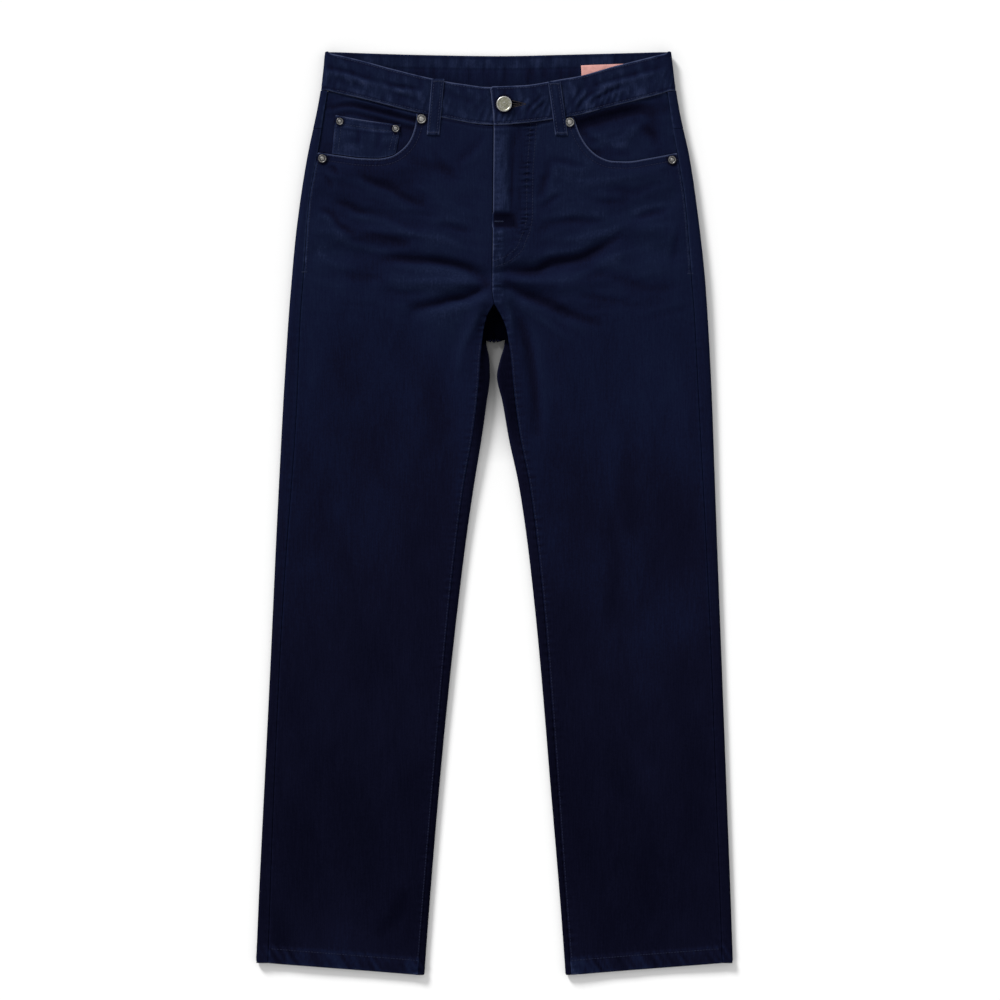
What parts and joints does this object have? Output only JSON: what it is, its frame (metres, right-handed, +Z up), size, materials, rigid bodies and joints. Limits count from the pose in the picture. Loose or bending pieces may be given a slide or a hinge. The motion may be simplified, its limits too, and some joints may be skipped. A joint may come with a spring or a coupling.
{
  "type": "five-pocket straight-leg jeans laid flat",
  "caption": "Dark navy denim straight-leg jeans laid flat on their back, with a waist button, belt loops, front pockets, a coin pocket, a lapped fly and turned-up hems",
  "frame": {"origin": "On the surface that the jeans lie on, under the middle of their bounding box", "axes": "+Y runs from the hems to the waistband, +X to the wearer's left, +Z up from the back through the front"},
  "size_m": [0.5182, 1.0029, 0.0229],
  "materials": {
    "denim": "dark navy warp-faced twill, matt, slightly paler over seams and folds",
    "hardware": "satin pewter, worn bright on the domes",
    "label": "bare salmon-pink woven label"
  },
  "bodies": {
    "root": {"front_panel_right": "denim", "front_panel_left": "denim", "back_panel_right": "denim", "back_panel_left": "denim", "back_yoke_right": "denim", "back_yoke_left": "denim", "back_pocket_right": "denim", "back_pocket_left": "denim", "pocket_facing_right": "denim", "pocket_facing_left": "denim", "coin_pocket": "denim", "waistband": "denim", "belt_loop_front_right": "denim", "belt_loop_front_left": "denim", "belt_loop_back_1": "denim", "belt_loop_back_2": "denim", "belt_loop_back_3": "denim", "rivet_pocket_right_inner": "hardware", "rivet_pocket_right_outer": "hardware", "rivet_pocket_left_inner": "hardware", "rivet_pocket_left_outer": "hardware", "rivet_coin_outer": "hardware", "rivet_coin_inner": "hardware", "waist_button": "hardware", "waist_label": "label"}
  },
  "joints": []
}
